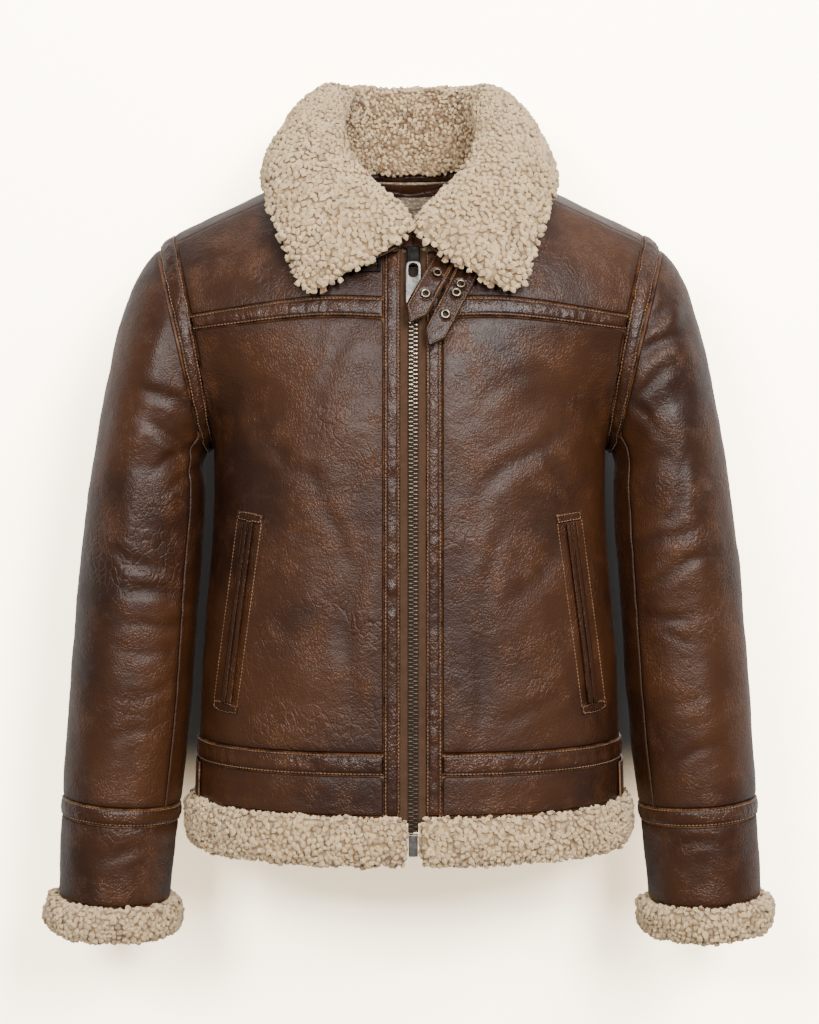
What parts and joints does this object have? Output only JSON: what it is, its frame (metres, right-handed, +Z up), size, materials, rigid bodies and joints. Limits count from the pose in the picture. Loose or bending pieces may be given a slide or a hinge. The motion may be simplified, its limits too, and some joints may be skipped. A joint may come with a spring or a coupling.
{
  "type": "leather jacket",
  "caption": "Shearling leather jacket with a large turned-down fleece collar, fleece hem and cuffs, front zip, throat straps and slanted pockets, filled out as worn.",
  "frame": {"origin": "between the wearer's shoulders, under the neck opening, where the wearer holds the jacket up", "axes": "+Z up, +X to the wearer's left, -Y out of the front"},
  "size_m": [0.6956, 0.3033, 0.8242],
  "materials": {
    "leather": "waxy pull-up leather, fine grain",
    "strip_leather": "puckered leather strip with burnished stitched edges",
    "fleece": "curly natural sheepskin wool",
    "neck_lining": "clipped wool",
    "zip_tape": "woven tape",
    "polished_steel": "polished",
    "dark_brass": "dark antique"
  },
  "bodies": {
    "garment": {"armhole_band_left": "strip_leather", "armhole_band_right": "strip_leather", "back_lower": "leather", "back_yoke": "leather", "collar_fleece": "fleece", "collar_leather": "leather", "cuff_fleece_left": "fleece", "cuff_fleece_right": "fleece", "front_lower_left": "leather", "front_lower_right": "leather", "front_yoke_left": "leather", "front_yoke_right": "leather", "hem_fleece_back": "fleece", "hem_fleece_left": "fleece", "hem_fleece_right": "fleece", "hem_panel_back": "leather", "hem_panel_left": "leather", "hem_panel_right": "leather", "label_patch": "strip_leather", "latch_buckle": "polished_steel", "latch_tab": "strip_leather", "neck_moon_patch": "neck_lining", "neck_strip": "strip_leather", "placket_left": "strip_leather", "placket_right": "strip_leather", "pocket_welt_front_left": "strip_leather", "pocket_welt_front_right": "strip_leather", "pocket_welt_rear_left": "strip_leather", "pocket_welt_rear_right": "strip_leather", "side_tab_left": "strip_leather", "side_tab_right": "strip_leather", "sleeve_end_left": "leather", "sleeve_end_right": "leather", "sleeve_strip_left": "strip_leather", "sleeve_strip_right": "strip_leather", "sleeve_top_left": "leather", "sleeve_top_right": "leather", "sleeve_under_left": "leather", "sleeve_under_right": "leather", "throat_strap_lower": "strip_leather", "throat_strap_lower_eyelet_1": "dark_brass", "throat_strap_lower_eyelet_2": "dark_brass", "throat_strap_lower_eyelet_3": "dark_brass", "throat_strap_upper": "strip_leather", "throat_strap_upper_eyelet_1": "dark_brass", "throat_strap_upper_eyelet_2": "dark_brass", "waist_strip_back": "strip_leather", "waist_strip_left": "strip_leather", "waist_strip_right": "strip_leather", "yoke_strip_back": "strip_leather", "yoke_strip_left": "strip_leather", "yoke_strip_right": "strip_leather", "zip_box": "polished_steel", "zip_chain": "polished_steel", "zip_slider": "dark_brass", "zip_tape_left": "zip_tape", "zip_tape_right": "zip_tape"},
    "zip_pull": {"zip_pull": "polished_steel"}
  },
  "joints": [
    {"name": "pull_swing", "type": "hinge", "parent": "garment", "child": "zip_pull", "pos_m": [0.0033, -0.11962, -0.0708], "axis": [-1, 0, 0], "range_deg": [0, 6]}
  ]
}
